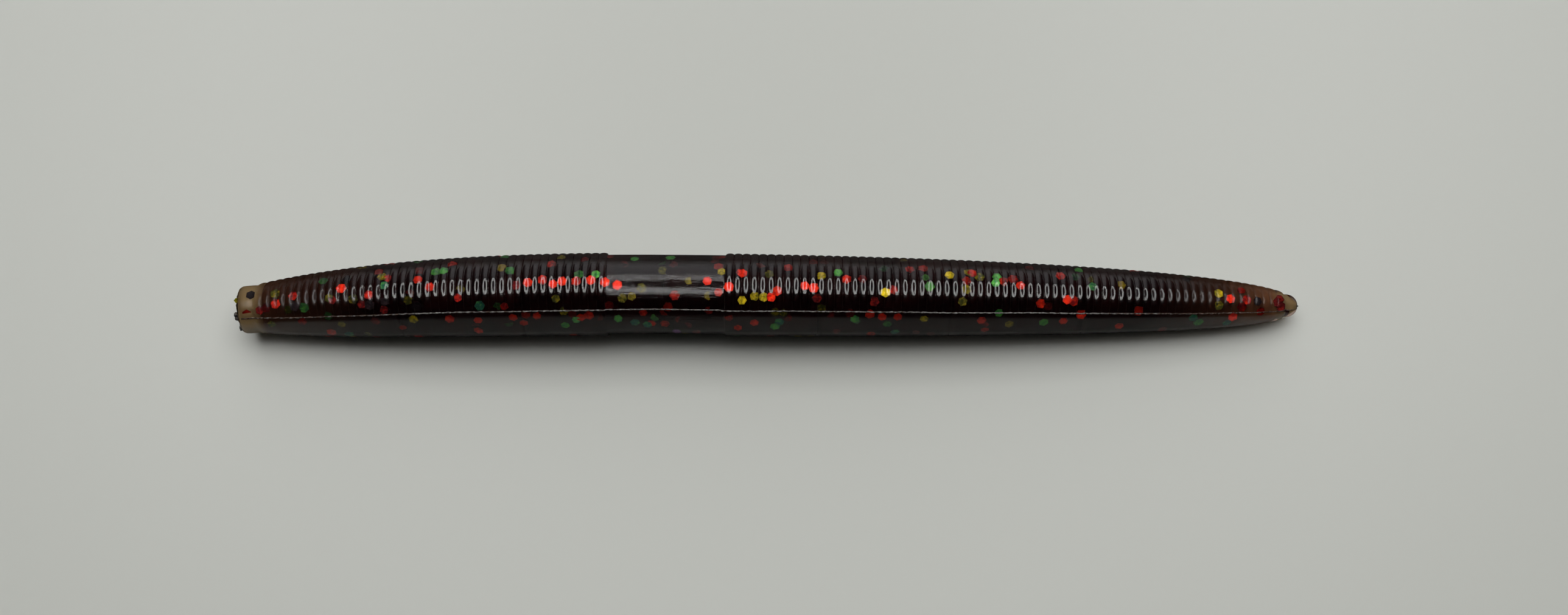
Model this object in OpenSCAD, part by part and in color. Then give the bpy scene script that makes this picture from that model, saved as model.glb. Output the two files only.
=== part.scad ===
// Ribbed soft plastic stick worm, laid on its belly with the cut sprue stub at -X and the tail at +X.
// One casting, divided into stiff lengths and the short flexing lengths between them, with hexagonal
// glitter flakes cast in just below the skin. The origin is on the table below the middle of its length.

/* [Worm] */
// Length from the face of the sprue stub to the tip of the tail
worm_length = 131; // [125:0.5:140]
// Diameter over the ribs at the thickest place
thickest_d = 10.2; // [9:0.1:12]
// Distance from the stub's face to the thickest place
thickest_at = 50; // [48:0.5:52]
// Depth of the flat that the soft belly takes where it lies
belly_flat = 0.08; // [0.04:0.01:0.15]

/* [Ribs] */
// Ribs between the stub and the collar
head_ribs = 43; // [40:1:46]
// Ribs between the collar and the tail nub
tail_ribs = 68; // [64:1:72]
// Depth of the grooves between ribs
rib_depth = 0.2; // [0.1:0.01:0.3]

/* [Collar] */
// Distance from the stub's face to the smooth collar
collar_start = 45.5; // [45:0.1:46]
// Length of the smooth collar
collar_length = 14.4; // [14:0.1:15]
// Diameter of the smooth collar
collar_d = 9.7; // [8.6:0.05:10]

/* [Ends] */
// Diameter of the sprue stub at the head
stub_d = 5.9; // [5:0.1:6]
// Length of the sprue stub
stub_length = 2.6; // [2:0.1:3]
// Diameter of the nub at the tip of the tail
nub_d = 2.8; // [2.4:0.1:3]
// Length of the tail nub
nub_length = 2.3; // [2:0.1:2.6]

/* [Mould seam] */
// How far the flash stands out of the ribs
flash_height = 0.12; // [0.05:0.01:0.2]
// Thickness of the flash
flash_thickness = 0.12; // [0.08:0.01:0.2]
// How far the near seam is rolled up from the horizontal, in degrees
seam_roll = 56; // [30:1:70]

/* [Shape at rest] */
// How far the head end lies towards -Y of the collar
head_bend = 1.7; // [0:0.1:3]
// How far the tail end lies towards -Y of the collar
tail_bend = 0.95; // [0:0.05:2]
// Fall of the head's centre line for each millimetre of length
head_slope = 0.06; // [0.04:0.01:0.07]
// Fall of the tail's centre line for each millimetre of length
tail_slope = 0.075; // [0.06:0.005:0.08]

/* [Flexing] */
// Length of each flexing stretch
flex_length = 4; // [3.6:0.1:4.4]

/* [Glitter] */
// Width of a hexagonal flake across its flats
flake_width = 1.05; // [0.8:0.05:1.1]
// Thickness of a flake
flake_thickness = 0.06; // [0.04:0.01:0.1]
// Shallowest depth of a flake below the groove roots
flake_depth = 0.35; // [0.3:0.05:0.5]

/* [Hidden] */

$fn = 64;

// The stiff lengths, in the order of the worm from its head
HEAD = 0;
NECK = 1;
SHOULDER = 2;
COLLAR = 3;
WAIST = 4;
REAR = 5;
TAIL_BASE = 6;
TAIL_TIP = 7;
LENGTH_NAMES = ["head", "neck", "shoulder", "collar", "waist", "rear", "tail_base", "tail_tip"];

// Distances from the stub's face to the seven places where the worm bends
bends = [13, 28, 42.5, 62.5, 79, 95.5, 112];
last = len(bends);

thickest_r = thickest_d / 2;
collar_end = collar_start + collar_length;
nub_start = worm_length - nub_length;
head_pitch = (collar_start - stub_length) / head_ribs;
tail_pitch = (nub_start - collar_end) / tail_ribs;

// Each end tapers as a superellipse: its reach in millimetres and its two powers
head_reach = thickest_at + 5;
head_powers = [2.7, 2.2];
tail_reach = worm_length - thickest_at - 0.5;
tail_powers = [2.1, 2.8];

// Points on each rib's curve, and the power that makes its crest broad and its grooves narrow
rib_steps = 4;
rib_power = 4;

// Spare length past each cut plane, and the size of the blocks that cut the planes
spare = 0.3;
block = 30;

// Length of the rounded edge on the stub, as a share of its radius
stub_rounding = 0.16;
// Steps in the curve of the tail nub's dome
dome_steps = 5;

// Distance kept between a flake and the end of its stiff length
flake_margin = 0.9;
flake_spacing = 0.95;
golden_angle = 137.508;
golden_share = 0.618;

wine = "#2b1114";
tan_end = "#6a5540";
red = "#d8231c";
green = "#3c8c50";
gold = "#b08c2a";
black = "#0c0c10";
purple = "#502864";

// Radius over the rib crests at distance s from the stub's face
function crest_r(s) =
    s < thickest_at
        ? taper_r((thickest_at - s) / head_reach, head_powers)
        : taper_r((s - thickest_at) / tail_reach, tail_powers);
function taper_r(share, powers) =
    thickest_r * pow(1 - pow(min(share, 1), powers[0]), 1 / powers[1]);

// Where the centre line lies at distance s: on the table along the body, lifting at the stiffer ends
function centre_y(s) =
    s < thickest_at
        ? -head_bend * pow((thickest_at - s) / thickest_at, 2)
        : -tail_bend * pow((s - thickest_at) / tail_reach, 1.2);
function centre_z(s) =
    s < bends[0]
        ? crest_r(bends[0]) - belly_flat - head_slope * (bends[0] - s)
    : s > bends[last - 1]
        ? crest_r(bends[last - 1]) - belly_flat - tail_slope * (s - bends[last - 1])
        : crest_r(s) - belly_flat;
function centre(s) = [s - worm_length / 2, centre_y(s), centre_z(s)];

// Ends of the stiff lengths, then of the flexing lengths between them
function stiff_start(i) = i == 0 ? 0 : bends[i - 1] + flex_length / 2;
function stiff_end(i) = i == last ? worm_length : bends[i] - flex_length / 2;

// Outline points [radius, distance] of a run of ribs from distance start
function rib_points(start, pitch, count) = [
    for (rib = [0 : count - 1], step = [0 : rib_steps - 1])
        let (turn = step / rib_steps, s = start + (rib + turn) * pitch)
            [crest_r(s) - rib_depth * pow(abs(cos(180 * turn)), rib_power), s]
];
function between(points, from, to) = [for (p = points) if (p[1] > from && p[1] < to) p];

stub_points = [
    [stub_d / 2 * (1 - stub_rounding), 0],
    [stub_d / 2 * (1 - stub_rounding / 4), stub_d / 2 * stub_rounding / 2],
    [stub_d / 2, stub_d / 2 * stub_rounding * 1.5],
    [stub_d / 2, stub_length - 0.01]
];
head_points = rib_points(stub_length, head_pitch, head_ribs);
collar_points = [
    [crest_r(collar_start) - rib_depth, collar_start - 0.01],
    [collar_d / 2, collar_start],
    [collar_d / 2, collar_end],
    [crest_r(collar_end) - rib_depth, collar_end + 0.01]
];
tail_points = rib_points(collar_end + 0.02, tail_pitch, tail_ribs);
nub_points = concat(
    [[nub_d / 2, nub_start + 0.03]],
    [
        for (step = [0 : dome_steps - 1])
            let (turn = 90 * step / dome_steps)
                [nub_d / 2 * cos(turn), worm_length - nub_d / 2 * (1 - sin(turn))]
    ]
);
outline = concat(stub_points, head_points, collar_points, tail_points, nub_points);

// Turns the Z axis of the children along the centre line from distance a to distance b
module along(a, b) {
    run = centre(b) - centre(a);
    translate(centre(a))
        rotate([0, acos(run[2] / norm(run)), atan2(run[1], run[0])])
            children();
}

// A block whose near face crosses the centre line square at distance s, on its head side or tail side
module cut(s, towards_tail) {
    along_line(s)
        translate([-block / 2, -block / 2, towards_tail ? 0 : -block])
            cube(block);
}
module along_line(s) {
    run = centre(s + 1) - centre(s - 1);
    translate(centre(s))
        rotate([0, acos(run[2] / norm(run)), atan2(run[1], run[0])])
            children();
}

// The casting from distance a to distance b: its turned outline, the seam's flash and the belly flat
module casting(a, b) {
    low = a == 0 ? 0 : a - spare;
    high = b == worm_length ? worm_length : b + spare;
    inside = between(outline, low, high);
    ends = [
        low == 0 ? outline[0] : [inside[0][0], low],
        high == worm_length ? [0, worm_length] : [inside[len(inside) - 1][0], high]
    ];
    closing = high == worm_length ? [] : [[0, high]];
    difference() {
        along(a, b)
            translate([0, 0, -a])
                union() {
                    rotate_extrude()
                        polygon(concat([[0, low]], [ends[0]], inside, [ends[1]], closing));
                    flash(max(low, stub_length), min(high, nub_start));
                }
        if (a > 0) cut(a, false);
        if (b < worm_length) cut(b, true);
        translate([-worm_length, -block / 2, -block])
            cube([2 * worm_length, block, block]);
    }
}

// A thin plate through the axis, whose edges stand out of the ribs as the flash of the mould seam
module flash(low, high) {
    steps = ceil((high - low) / 2);
    edge = [
        for (step = [0 : steps])
            let (s = low + (high - low) * step / steps)
                [casting_r(s) + flash_height, s]
    ];
    rotate([0, 0, 90 + seam_roll])
        rotate([90, 0, 0])
            linear_extrude(flash_thickness, center = true)
                polygon(concat(edge, [for (i = [steps : -1 : 0]) [-edge[i][0], edge[i][1]]]));
}
function casting_r(s) = s > collar_start && s < collar_end ? collar_d / 2 : crest_r(s);

// The glitter of stiff length i: how many flakes, and the colour of flake k
function flake_count(i) = floor((flakes_end(i) - flakes_start(i)) / flake_spacing);
function flakes_start(i) = (i == HEAD ? stub_length : stiff_start(i)) + flake_margin;
function flakes_end(i) = (i == TAIL_TIP ? nub_start : stiff_end(i)) - flake_margin;
function flake_colour(i, k) =
    i == COLLAR && k == 9 ? purple
    : (i == HEAD || i == TAIL_TIP) && k % 5 == 4 ? black
    : [red, green, red, gold, red, green][k % 6];

module flakes(i, colour) {
    count = flake_count(i);
    for (k = [0 : count - 1])
        if (flake_colour(i, k) == colour)
            flake(i, k);
}

// One hexagonal flake, lying along the skin
module flake(i, k) {
    s = flakes_start(i) + (k + 0.5) * flake_spacing;
    deeper = 0.5 * (k * golden_share - floor(k * golden_share));
    along(stiff_start(i), stiff_end(i))
        rotate([0, 0, (k + 20 * i) * golden_angle])
            translate([crest_r(s) - rib_depth - flake_depth - deeper, 0, s - stiff_start(i)])
                rotate([0, 90, 0])
                    rotate([0, 0, k * golden_angle])
                        cylinder(d = flake_width / cos(30), h = flake_thickness, center = true, $fn = 6);
}

// A stiff length, with a pocket for each of its flakes
module stiff_length(i) {
    color(i == HEAD || i == TAIL_TIP ? tan_end : wine)
        difference() {
            casting(stiff_start(i), stiff_end(i));
            for (k = [0 : flake_count(i) - 1])
                flake(i, k);
        }
}
module head_stiff_length() { stiff_length(HEAD); }
module neck_stiff_length() { stiff_length(NECK); }
module shoulder_stiff_length() { stiff_length(SHOULDER); }
module collar_stiff_length() { stiff_length(COLLAR); }
module waist_stiff_length() { stiff_length(WAIST); }
module rear_stiff_length() { stiff_length(REAR); }
module tail_base_stiff_length() { stiff_length(TAIL_BASE); }
module tail_tip_stiff_length() { stiff_length(TAIL_TIP); }

// A flexing length, between stiff length i and the next
module flexing_length(i) {
    color(wine)
        casting(stiff_end(i), stiff_start(i + 1));
}
module head_to_neck_flex() { flexing_length(HEAD); }
module neck_to_shoulder_flex() { flexing_length(NECK); }
module shoulder_to_collar_flex() { flexing_length(SHOULDER); }
module collar_to_waist_flex() { flexing_length(COLLAR); }
module waist_to_rear_flex() { flexing_length(WAIST); }
module rear_to_tail_base_flex() { flexing_length(REAR); }
module tail_base_to_tail_tip_flex() { flexing_length(TAIL_BASE); }

module red_flakes(i) { color(red) flakes(i, red); }
module green_flakes(i) { color(green) flakes(i, green); }
module gold_flakes(i) { color(gold) flakes(i, gold); }
module black_flakes(i) { color(black) flakes(i, black); }
module purple_flakes(i) { color(purple) flakes(i, purple); }

head_stiff_length();
neck_stiff_length();
shoulder_stiff_length();
collar_stiff_length();
waist_stiff_length();
rear_stiff_length();
tail_base_stiff_length();
tail_tip_stiff_length();
head_to_neck_flex();
neck_to_shoulder_flex();
shoulder_to_collar_flex();
collar_to_waist_flex();
waist_to_rear_flex();
rear_to_tail_base_flex();
tail_base_to_tail_tip_flex();
for (i = [HEAD : TAIL_TIP]) {
    red_flakes(i);
    green_flakes(i);
    gold_flakes(i);
}
black_flakes(HEAD);  // head_black_flakes
black_flakes(TAIL_TIP);  // tail_tip_black_flakes
purple_flakes(COLLAR);  // collar_purple_flake
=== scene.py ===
"""Ribbed soft plastic stick worm: the finished look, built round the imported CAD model."""

from __future__ import annotations

import logging
import math
import random
from collections.abc import Sequence
from dataclasses import dataclass
from enum import Enum
from itertools import pairwise

import bpy
import numpy as np
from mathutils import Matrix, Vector


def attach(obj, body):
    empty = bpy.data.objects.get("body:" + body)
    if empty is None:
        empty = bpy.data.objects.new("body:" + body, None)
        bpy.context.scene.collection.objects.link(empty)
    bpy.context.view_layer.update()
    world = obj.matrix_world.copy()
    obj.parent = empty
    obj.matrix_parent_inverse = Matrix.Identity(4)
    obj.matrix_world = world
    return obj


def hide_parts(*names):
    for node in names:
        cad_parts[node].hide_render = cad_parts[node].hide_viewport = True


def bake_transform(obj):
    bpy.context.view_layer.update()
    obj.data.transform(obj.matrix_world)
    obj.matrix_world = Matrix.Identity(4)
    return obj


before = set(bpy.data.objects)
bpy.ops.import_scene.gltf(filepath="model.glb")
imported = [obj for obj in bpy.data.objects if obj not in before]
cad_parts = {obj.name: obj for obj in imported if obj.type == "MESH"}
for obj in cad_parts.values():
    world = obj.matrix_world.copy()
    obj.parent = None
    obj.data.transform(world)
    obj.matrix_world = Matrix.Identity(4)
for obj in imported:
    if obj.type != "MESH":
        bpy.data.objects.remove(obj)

LOG = logging.getLogger("worm")
MM = 0.001
TURN = 2 * math.pi
WELD = 2e-7
# Millimetres of clear skin left between the table and what lies inside it.
BELLY_GAP = 0.15


class Glitter(Enum):
    """The colours of glitter film cast into the worm."""

    RED = "red"
    GREEN = "green"
    GOLD = "gold"
    BLACK = "black"
    PURPLE = "purple"


# ---------------------------------------------------------------- shape of the worm


@dataclass(frozen=True)
class WormShape:
    """Sizes of the casting in millimetres and degrees, and the laws that its outline follows.

    Distances s are measured along the worm from the face of the sprue stub.
    """

    length: float = 131.0
    thickest_r: float = 5.1
    thickest_at: float = 50.0
    head_reach: float = 55.0
    head_powers: tuple[float, float] = (2.7, 2.2)
    tail_reach: float = 80.5
    tail_powers: tuple[float, float] = (2.1, 2.8)
    belly_flat: float = 0.08
    head_bend: float = 1.7
    tail_bend: float = 0.95
    head_lift_at: float = 13.0
    tail_lift_at: float = 112.0
    head_slope: float = 0.06
    tail_slope: float = 0.075
    stub_r: float = 2.93
    stub_length: float = 2.6
    head_ribs: int = 43
    collar_start: float = 45.5
    collar_end: float = 59.9
    collar_r: float = 4.85
    tail_ribs: int = 68
    nub_start: float = 128.7
    nub_r: float = 1.4
    nub_dome_at: float = 129.35
    nub_dome: float = 1.35
    rib_depth: float = 0.17
    crest_curve: float = 0.95
    crest_half: float = 0.34
    flank_slope: float = 0.35
    groove_half: float = 0.06
    rib_fade: float = 0.45
    rib_fade_from: float = 105.0
    rib_fade_length: float = 22.0
    core_depth: float = 0.52
    collar_core_depth: float = 0.12
    seam_angle: float = 56.0
    plain_half_depth: float = 0.12
    facet_low: float = 14.0
    facet_share: float = 0.85
    facet_from: float = 3.0
    facet_grows_over: float = 3.0
    facet_to: float = 127.0
    facet_fades_over: float = 6.0
    collar_facet: float = 0.6
    collar_facet_edge: float = 0.8

    @property
    def head_pitch(self) -> float:
        """Distance between ribs on the head side of the collar."""
        return (self.collar_start - self.stub_length) / self.head_ribs

    @property
    def tail_start(self) -> float:
        """Where the ribs behind the collar start."""
        return self.collar_end + 0.02

    @property
    def tail_pitch(self) -> float:
        """Distance between ribs on the tail side of the collar."""
        return (self.nub_start - self.collar_end) / self.tail_ribs

    def crest(self, s: np.ndarray) -> np.ndarray:
        """Radius over the rib crests.

        Args:
            s: Distances along the worm.

        Returns:
            Radii in millimetres.
        """
        head = np.clip((self.thickest_at - s) / self.head_reach, 0, 1)
        tail = np.clip((s - self.thickest_at) / self.tail_reach, 0, 1)
        share = (1 - head ** self.head_powers[0]) ** (1 / self.head_powers[1])
        share *= (1 - tail ** self.tail_powers[0]) ** (1 / self.tail_powers[1])
        return self.thickest_r * share

    def centre(self, s: np.ndarray) -> np.ndarray:
        """Places of the centre line, lying on the table and lifting at the stiffer ends.

        Args:
            s: Distances along the worm.

        Returns:
            One row of X, Y, Z in millimetres for each distance.
        """
        ahead = np.clip((self.thickest_at - s) / self.thickest_at, 0, None)
        behind = np.clip((s - self.thickest_at) / self.tail_reach, 0, None)
        y = -self.head_bend * ahead**2 - self.tail_bend * behind**1.2
        resting = np.clip(s, self.head_lift_at, self.tail_lift_at)
        fall = self.head_slope * np.clip(self.head_lift_at - s, 0, None)
        fall += self.tail_slope * np.clip(s - self.tail_lift_at, 0, None)
        z = self.crest(resting) - self.belly_flat - fall
        return np.stack([s - self.length / 2, y, z], axis=1)

    def place(self, s: np.ndarray, radius: np.ndarray, angle: np.ndarray) -> np.ndarray:
        """Points round the centre line of the lying worm.

        Args:
            s: Distances along the worm.
            radius: Distances from the centre line, in millimetres.
            angle: Angles in radians, from 0 at the near side over the top.

        Returns:
            One row of X, Y, Z in metres for each point.
        """
        step = 0.05
        run = self.centre(s + step) - self.centre(s - step)
        run /= np.linalg.norm(run, axis=1, keepdims=True)
        side = np.cross(run, np.array([0.0, 0.0, 1.0]))
        side /= np.linalg.norm(side, axis=1, keepdims=True)
        up = np.cross(side, run)
        out = np.cos(angle)[:, None] * side + np.sin(angle)[:, None] * up
        points = (self.centre(s) + radius[:, None] * out) * MM
        points[:, 2] = np.maximum(points[:, 2], 0)
        return points

    def groove(self, s: np.ndarray) -> np.ndarray:
        """Depth below the crests: 0 on each broad crest, sharp and deepest between ribs.

        Args:
            s: Distances along the worm.

        Returns:
            Depths in millimetres, 0 off the ribs.
        """
        head = (s - self.stub_length) / self.head_pitch
        tail = (s - self.tail_start) / self.tail_pitch
        turn = np.where(s < self.collar_end - 1, head, tail)
        pitch = np.where(s < self.collar_end - 1, self.head_pitch, self.tail_pitch)
        ribbed = (head > -0.01) & (head < self.head_ribs + 0.01)
        ribbed |= (tail > -0.01) & (tail < self.tail_ribs + 0.01)
        off_crest = np.abs(np.mod(turn, 1) - 0.5) * pitch
        arc = self.crest_curve / 2 * np.minimum(off_crest, self.crest_half) ** 2
        roof = arc + self.flank_slope * np.clip(off_crest - self.crest_half, 0, None)
        slit = np.clip((off_crest - pitch / 2) / self.groove_half + 1, 0, 1) ** 1.5
        drop = roof + (self.rib_depth - roof) * slit
        fading = 1 - self.rib_fade * np.clip((s - self.rib_fade_from) / self.rib_fade_length, 0, 1)
        return np.where(ribbed, drop * fading, 0)

    def plain_half(self, angle: np.ndarray) -> np.ndarray:
        """True on the mould half below the seams, whose ribs are nearly polished away."""
        past = np.mod(np.degrees(angle) - self.seam_angle, 360)
        return past > 180.001

    def facet(self, s: np.ndarray, angle: np.ndarray) -> np.ndarray:
        """How the plain mould half is flattened below the near seam.

        Args:
            s: Distances along the worm.
            angle: Angles in radians.

        Returns:
            Factors of the radius, 1 away from the flattening.
        """
        middle = (self.facet_low + self.seam_angle) / 2
        half = (self.seam_angle - self.facet_low) / 2
        away = (np.degrees(angle) - middle + 180) % 360 - 180
        chord = math.cos(math.radians(half)) / np.cos(np.radians(np.clip(away, -half, half)))
        strength = np.clip((s - self.facet_from) / self.facet_grows_over, 0, 1)
        strength *= np.clip((self.facet_to - s) / self.facet_fades_over, 0, 1)
        past_collar = np.maximum(self.collar_start - s, s - self.collar_end)
        off_collar = np.clip(past_collar / self.collar_facet_edge, 0, 1)
        off_collar = self.collar_facet + (1 - self.collar_facet) * off_collar
        return 1 - (1 - chord) * self.facet_share * strength * off_collar

    def core(self, s: np.ndarray) -> np.ndarray:
        """Radius of the cloudy plastisol that stops the eye below the clear skin.

        Args:
            s: Distances along the worm.

        Returns:
            Radii in millimetres.
        """
        collar = np.clip(np.minimum(s - self.collar_start + 1, self.collar_end + 1 - s), 0, 1)
        return self.crest(s) - self.core_depth - self.collar_core_depth * collar


SHAPE = WormShape()


@dataclass(frozen=True)
class Stretch:
    """One stretch of the worm between two bodies of the frame."""

    body_a: str
    body_b: str
    start: float
    end: float
    follows_a: float
    follows_b: float

    @property
    def name(self) -> str:
        """Name of the stretch, made of its bodies."""
        return f"{self.body_a}_{self.body_b}"

    @property
    def flexing_node(self) -> str:
        """CAD node of the flexing length between the two bodies."""
        return f"{self.body_a}_to_{self.body_b}_flex"

    def bend(self, piece: bpy.types.Object) -> None:
        """Bakes the piece's placement into its mesh; it is not made to bend with this stretch."""
        ends = SHAPE.centre(np.array([self.follows_a, self.follows_b])) * MM
        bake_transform(piece)


def stretches() -> list[Stretch]:
    """The stretches from head to tail, cut at groove bottoms and in the middle of the collar."""
    bodies = ["head", "neck", "shoulder", "collar", "waist", "rear", "tail_base", "tail_tip"]
    middles = [5.5, 20.5, 35.25, 52.5, 70.75, 87.25, 103.75, 122.5]
    cuts = [0.0]
    for middle in middles[1:-1]:
        if middle < SHAPE.collar_start:
            rib = round((middle - SHAPE.stub_length) / SHAPE.head_pitch)
            cuts.append(SHAPE.stub_length + rib * SHAPE.head_pitch)
        elif middle > SHAPE.collar_end:
            rib = round((middle - SHAPE.tail_start) / SHAPE.tail_pitch)
            cuts.append(SHAPE.tail_start + rib * SHAPE.tail_pitch)
        else:
            cuts.append(middle)
    cuts.append(SHAPE.length)
    return [
        Stretch(bodies[i], bodies[i + 1], cuts[i], cuts[i + 1], middles[i],
         middles[i + 1]) for i in range(len(bodies) - 1)
    ]


# ---------------------------------------------------------------- tools of the bench


def linear(colour: str) -> tuple[float, float, float, float]:
    """Linear colour of an sRGB hex value such as #a0b0c0."""
    parts = [int(colour[i : i + 2], 16) / 255 for i in (1, 3, 5)]
    parts = [p / 12.92 if p <= 0.04045 else ((p + 0.055) / 1.055) ** 2.4 for p in parts]
    return (parts[0], parts[1], parts[2], 1.0)


def grey(value: float) -> tuple[float, float, float, float]:
    """A linear grey of the given value."""
    return (value, value, value, 1.0)


def add_node(
    tree: bpy.types.NodeTree, kind: str, inputs: dict | None = None, **settings: object
) -> bpy.types.Node:
    """Adds a node with its settings and links.

    Args:
        tree: The material's or world's node tree.
        kind: Blender's name of the node type, without its first word ShaderNode.
        inputs: Values, sockets or nodes, by the name or number of the input. A node gives its first output.
        settings: Properties of the node.

    Returns:
        The node.
    """
    made = tree.nodes.new(f"ShaderNode{kind}")
    for key, value in settings.items():
        setattr(made, key, value)
    for key, value in (inputs or {}).items():
        if isinstance(value, bpy.types.Node):
            tree.links.new(value.outputs[0], made.inputs[key])
        elif isinstance(value, bpy.types.NodeSocket):
            tree.links.new(value, made.inputs[key])
        else:
            made.inputs[key].default_value = value
    return made


def new_material(name: str) -> tuple[bpy.types.Material, bpy.types.NodeTree]:
    """An empty node material and its tree."""
    material = bpy.data.materials.new(name)
    material.use_nodes = True
    material.node_tree.nodes.clear()
    return material, material.node_tree


def ramp(
    tree: bpy.types.NodeTree, factor: bpy.types.Node | bpy.types.NodeSocket, stops: Sequence[tuple]
) -> bpy.types.Node:
    """A colour ramp with the given stops of position and colour."""
    made = add_node(tree, "ValToRGB", {"Fac": factor})
    elements = made.color_ramp.elements
    while len(elements) < len(stops):
        elements.new(0.5)
    for element, (position, colour) in zip(elements, stops):
        element.position = position
        element.color = colour
    return made


def deselect() -> None:
    """Leaves edit mode and deselects every object."""
    if bpy.context.object and bpy.context.object.mode != "OBJECT":
        bpy.ops.object.mode_set(mode="OBJECT")
    bpy.ops.object.select_all(action="DESELECT")


def vertices_of(piece: bpy.types.Object) -> np.ndarray:
    """The piece's vertices, one row of X, Y, Z each."""
    found = np.empty(len(piece.data.vertices) * 3, np.float32)
    piece.data.vertices.foreach_get("co", found)
    return found.reshape(-1, 3).astype(float)


def move_vertices(piece: bpy.types.Object, places: np.ndarray) -> None:
    """Puts the piece's vertices at new places."""
    piece.data.vertices.foreach_set("co", places.astype(np.float32).ravel())
    piece.data.update()


def set_attribute(piece: bpy.types.Object, name: str, values: np.ndarray) -> None:
    """Stores one number, or one vector, for each vertex.

    Args:
        piece: The mesh object.
        name: Name of the attribute.
        values: An array of numbers, or of rows of three.
    """
    kind, key = ("FLOAT_VECTOR", "vector") if values.ndim == 2 else ("FLOAT", "value")
    attribute = piece.data.attributes.new(name, kind, "POINT")
    attribute.data.foreach_set(key, values.astype(np.float32).ravel())


def face_outwards(piece: bpy.types.Object) -> None:
    """Recalculates the normals and turns them away from the worm's axis.

    Args:
        piece: A mesh turned round the X axis, not yet laid on the table.
    """
    bpy.ops.object.mode_set(mode="EDIT")
    bpy.ops.mesh.select_all(action="SELECT")
    bpy.ops.mesh.normals_make_consistent(inside=False)
    bpy.ops.object.mode_set(mode="OBJECT")
    outward = sum(
        p.area * (p.normal.y * p.center.y + p.normal.z * p.center.z) for p in piece.data.polygons
    )
    if outward < 0:
        bpy.ops.object.mode_set(mode="EDIT")
        bpy.ops.mesh.flip_normals()
        bpy.ops.object.mode_set(mode="OBJECT")


def turned(name: str, outline: Sequence[tuple[float, float]], steps: int) -> bpy.types.Object:
    """Turns an outline round the X axis, as on a lathe.

    Args:
        name: Name of the piece.
        outline: Points of distance along X and radius, in millimetres.
        steps: Faces round the axis.

    Returns:
        The turned mesh, still straight, with its seam and poles welded.
    """
    deselect()
    tilt = math.radians(SHAPE.seam_angle)
    out = Vector((0, -math.cos(tilt), math.sin(tilt)))
    first = Vector((outline[0][0] * MM, 0, 0)) + out * outline[0][1] * MM
    bpy.ops.mesh.primitive_plane_add(size=MM, location=first)
    piece = bpy.context.object
    piece.name = name
    bpy.ops.object.transform_apply(location=True)
    bpy.ops.object.mode_set(mode="EDIT")
    bpy.ops.mesh.select_all(action="SELECT")
    bpy.ops.mesh.merge(type="CENTER")
    for (s0, r0), (s1, r1) in pairwise(outline):
        move = Vector(((s1 - s0) * MM, 0, 0)) + out * (r1 - r0) * MM
        bpy.ops.mesh.extrude_region_move(TRANSFORM_OT_translate={"value": move})
    bpy.ops.mesh.select_all(action="SELECT")
    bpy.ops.mesh.spin(steps=steps, angle=TURN, center=(0, 0, 0), axis=(1, 0, 0))
    bpy.ops.mesh.select_all(action="SELECT")
    bpy.ops.mesh.remove_doubles(threshold=WELD)
    bpy.ops.object.mode_set(mode="OBJECT")
    face_outwards(piece)
    bpy.ops.object.shade_smooth()
    return piece


def polar(piece: bpy.types.Object) -> tuple[np.ndarray, np.ndarray, np.ndarray]:
    """Distance along the worm, radius and angle of each vertex of a straight, turned mesh."""
    co = vertices_of(piece) / MM
    return co[:, 0], np.hypot(co[:, 1], co[:, 2]), np.arctan2(co[:, 2], -co[:, 1])


def lay(
    piece: bpy.types.Object,
    s: np.ndarray,
    radius: np.ndarray,
    angle: np.ndarray,
    lift: float | np.ndarray = 0.0,
) -> None:
    """Lays a straight mesh along the worm and stores where each vertex was.

    Args:
        piece: The mesh.
        s: Distance along the worm of each vertex.
        radius: Radius of each vertex, in millimetres.
        angle: Angle of each vertex, in radians.
        lift: Least height above the table, in millimetres.
    """
    places = SHAPE.place(s, radius, angle)
    places[:, 2] = np.maximum(places[:, 2], lift * MM)
    move_vertices(piece, places)
    set_attribute(piece, "straight", np.stack([s, -radius * np.cos(angle), radius * np.sin(angle)], axis=1))


def joined(pieces: Sequence[bpy.types.Object], name: str) -> bpy.types.Object:
    """Joins the pieces into the first of them and names it."""
    deselect()
    for piece in pieces:
        piece.select_set(True)
    bpy.context.view_layer.objects.active = pieces[0]
    if len(pieces) > 1:
        bpy.ops.object.join()
    pieces[0].name = name
    return pieces[0]


def wave(values: np.ndarray, period: float, seed: float) -> np.ndarray:
    """A smooth uneven wave between about -1 and 1, for what a hand or a mould leaves uneven."""
    turn = values * TURN / period
    return (
        np.sin(turn + seed) + 0.7 * np.sin(turn * 1.73 + seed * 2.1) + 0.5 * np.sin(turn * 3.11 + seed * 3.7)
    ) / 2.2


# ---------------------------------------------------------------- finishes


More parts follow.
